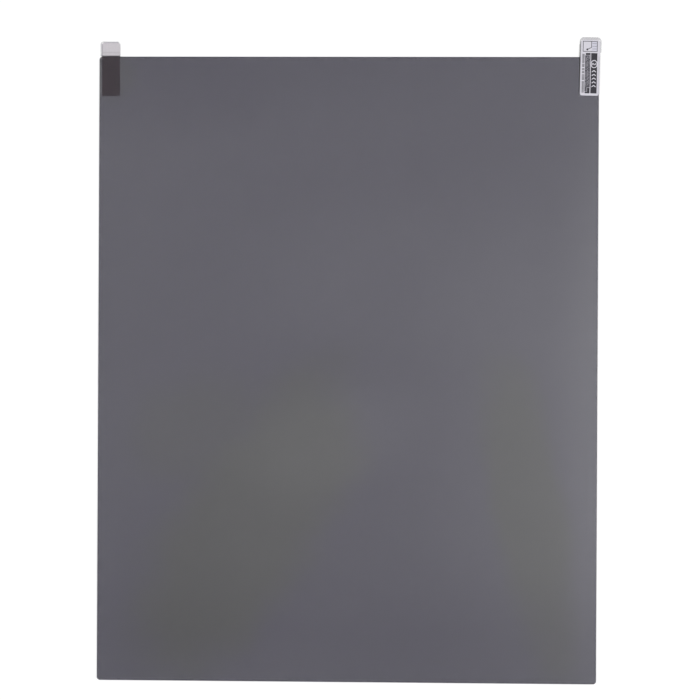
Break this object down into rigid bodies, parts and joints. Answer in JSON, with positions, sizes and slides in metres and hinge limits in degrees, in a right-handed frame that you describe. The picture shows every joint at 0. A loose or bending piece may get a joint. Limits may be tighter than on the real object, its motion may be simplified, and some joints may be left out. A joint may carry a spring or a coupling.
{
  "type": "laptop screen filter",
  "caption": "Flat tinted see-through screen filter sheet with clear protective liners on both faces and a pull tab on each liner at the top corners.",
  "frame": {"origin": "centre of the sheet's flat rear face, the face of the rear liner that lies on the screen side", "axes": "+X to the right across the sheet's width, +Y up the sheet to the edge with the pull tabs, +Z out of the front face"},
  "size_m": [0.2713, 0.3488, 0.0007],
  "materials": {
    "tinted_film": "satin see-through film, dark purple-grey",
    "clear_liner": "clear gloss film",
    "white_label": "satin white label film, faintly lilac",
    "tab_carrier": "translucent frosted film",
    "black_ink": "printed black ink",
    "grey_ink": "printed grey ink",
    "fine_print_ink": "printed grey ink in fine lines"
  },
  "bodies": {
    "root": {"filter_film": "tinted_film", "rear_liner": "clear_liner", "front_liner": "clear_liner", "rear_tab_label": "white_label", "rear_tab_carrier": "tab_carrier", "front_tab_carrier": "tab_carrier", "front_tab_label": "white_label", "front_tab_black_print": "black_ink", "front_tab_grey_print": "grey_ink", "front_tab_fine_print": "fine_print_ink"}
  },
  "joints": []
}
